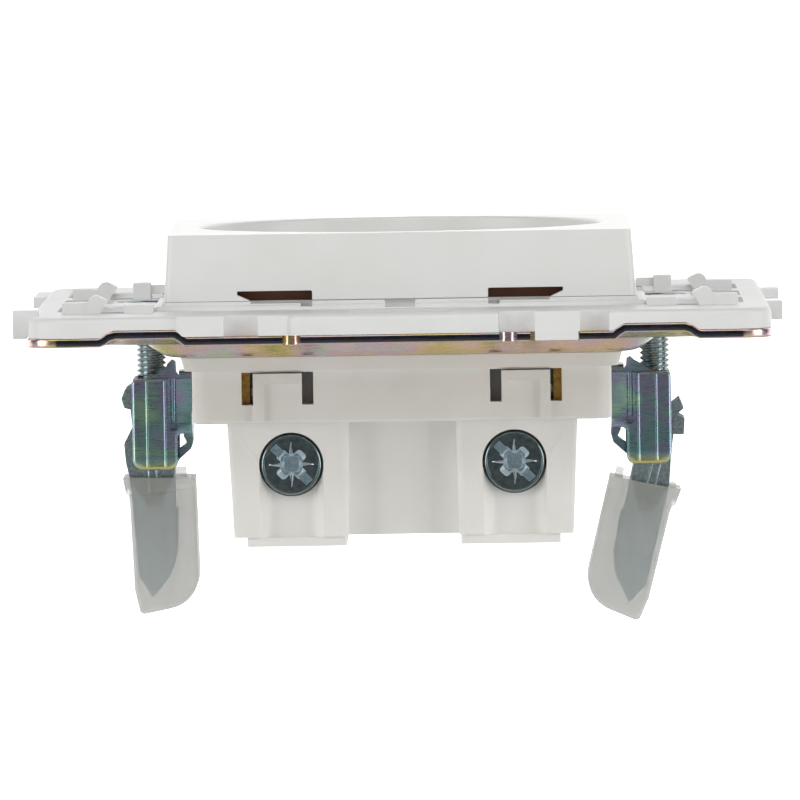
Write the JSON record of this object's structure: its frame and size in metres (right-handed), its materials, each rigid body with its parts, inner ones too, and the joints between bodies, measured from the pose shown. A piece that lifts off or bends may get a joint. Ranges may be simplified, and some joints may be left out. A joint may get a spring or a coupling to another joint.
{
  "type": "flush wall socket mechanism",
  "caption": "Flush wall socket mechanism for round-pin plugs, without its cover frame: steel support plate, white carrier and recessed face, screw terminals and screw-driven fixing claws.",
  "frame": {"origin": "centre of the wall plane, which is the underside of the steel plate's rim, on the socket's axis", "axes": "+Z out of the wall; +X from the left claw to the right claw; the terminal screws face -Y"},
  "size_m": [0.0745, 0.0711, 0.0388],
  "materials": {
    "plate_steel": "zinc plated, yellow iridescent passivation",
    "carrier_white": "moulded, satin",
    "face_white": "moulded, satin gloss",
    "base_white": "moulded, matt",
    "guide_polyamide": "moulded, natural",
    "shutter_white": "moulded",
    "contact_brass": "stamped brass strip",
    "spring_steel": "bright spring steel",
    "zinc_screw": "blue zinc plated",
    "zinc_cage": "zinc plated",
    "stirrup_steel": "zinc plated, blue-green iridescent passivation",
    "lever_steel": "blue zinc plated",
    "sleeve_polypropylene": "translucent natural"
  },
  "bodies": {
    "housing": {"support_plate": "plate_steel", "carrier_frame": "carrier_white", "socket_face": "face_white", "base_housing": "base_white", "shutter_guide": "guide_polyamide", "contact_strip_L": "contact_brass", "contact_strip_R": "contact_brass", "contact_spring_L": "spring_steel", "contact_spring_R": "spring_steel", "shutter_spring": "spring_steel"},
    "claw_screw_L": {"claw_screw_L": "zinc_screw"},
    "stirrup_L": {"stirrup_L": "stirrup_steel"},
    "claw_L": {"claw_lever_L": "lever_steel", "claw_sleeve_L": "sleeve_polypropylene"},
    "terminal_screw_L": {"terminal_screw_L": "zinc_screw"},
    "terminal_cage_L": {"terminal_cage_L": "zinc_cage"},
    "claw_screw_R": {"claw_screw_R": "zinc_screw"},
    "stirrup_R": {"stirrup_R": "stirrup_steel"},
    "claw_R": {"claw_lever_R": "lever_steel", "claw_sleeve_R": "sleeve_polypropylene"},
    "terminal_screw_R": {"terminal_screw_R": "zinc_screw"},
    "terminal_cage_R": {"terminal_cage_R": "zinc_cage"},
    "shutter": {"shutter": "shutter_white"}
  },
  "joints": [
    {"name": "stirrup_L_lift", "type": "slide", "parent": "housing", "child": "stirrup_L", "axis": [0, 0, 1], "range_m": [0, 0.0017]},
    {"name": "claw_screw_L_turn", "type": "hinge", "parent": "housing", "child": "claw_screw_L", "pos_m": [-0.0246, 0, 0], "axis": [0, 0, -1], "range_deg": [0, 1224.1]},
    {"name": "claw_L_swing", "type": "hinge", "parent": "stirrup_L", "child": "claw_L", "pos_m": [-0.0209, 0, -0.0114], "axis": [0, 1, 0], "range_deg": [0, 15.01]},
    {"name": "stirrup_R_lift", "type": "slide", "parent": "housing", "child": "stirrup_R", "axis": [0, 0, 1], "range_m": [0, 0.0017]},
    {"name": "claw_screw_R_turn", "type": "hinge", "parent": "housing", "child": "claw_screw_R", "pos_m": [0.0246, 0, 0], "axis": [0, 0, -1], "range_deg": [0, 1224.1]},
    {"name": "claw_R_swing", "type": "hinge", "parent": "stirrup_R", "child": "claw_R", "pos_m": [0.02115, 0, -0.01205], "axis": [0, -1, 0], "range_deg": [0, 27.01]},
    {"name": "terminal_cage_L_slide", "type": "slide", "parent": "housing", "child": "terminal_cage_L", "axis": [0, -1, 0], "range_m": [0, 0.0021]},
    {"name": "terminal_screw_L_turn", "type": "hinge", "parent": "housing", "child": "terminal_screw_L", "pos_m": [-0.01075, -0.019, -0.0123], "axis": [0, 1, 0], "range_deg": [0, 1260.1]},
    {"name": "terminal_cage_R_slide", "type": "slide", "parent": "housing", "child": "terminal_cage_R", "axis": [0, -1, 0], "range_m": [0, 0.0021]},
    {"name": "terminal_screw_R_turn", "type": "hinge", "parent": "housing", "child": "terminal_screw_R", "pos_m": [0.01075, -0.019, -0.0123], "axis": [0, 1, 0], "range_deg": [0, 1260.1]},
    {"name": "shutter_slide", "type": "slide", "parent": "housing", "child": "shutter", "axis": [0, 1, 0], "range_m": [0, 0.0064], "stiffness_N_per_m": 60, "springref_m": -0.003, "deforming": ["shutter_spring"]}
  ],
  "couplings": [
    {"joint": "claw_screw_L_turn", "follows": "stirrup_L_lift", "rad_per_m": 12566},
    {"joint": "claw_L_swing", "follows": "stirrup_L_lift", "rad_per_m": 154},
    {"joint": "claw_screw_R_turn", "follows": "stirrup_R_lift", "rad_per_m": 12566},
    {"joint": "claw_R_swing", "follows": "stirrup_R_lift", "rad_per_m": 277.2},
    {"joint": "terminal_screw_L_turn", "follows": "terminal_cage_L_slide", "rad_per_m": 10472},
    {"joint": "terminal_screw_R_turn", "follows": "terminal_cage_R_slide", "rad_per_m": 10472}
  ]
}
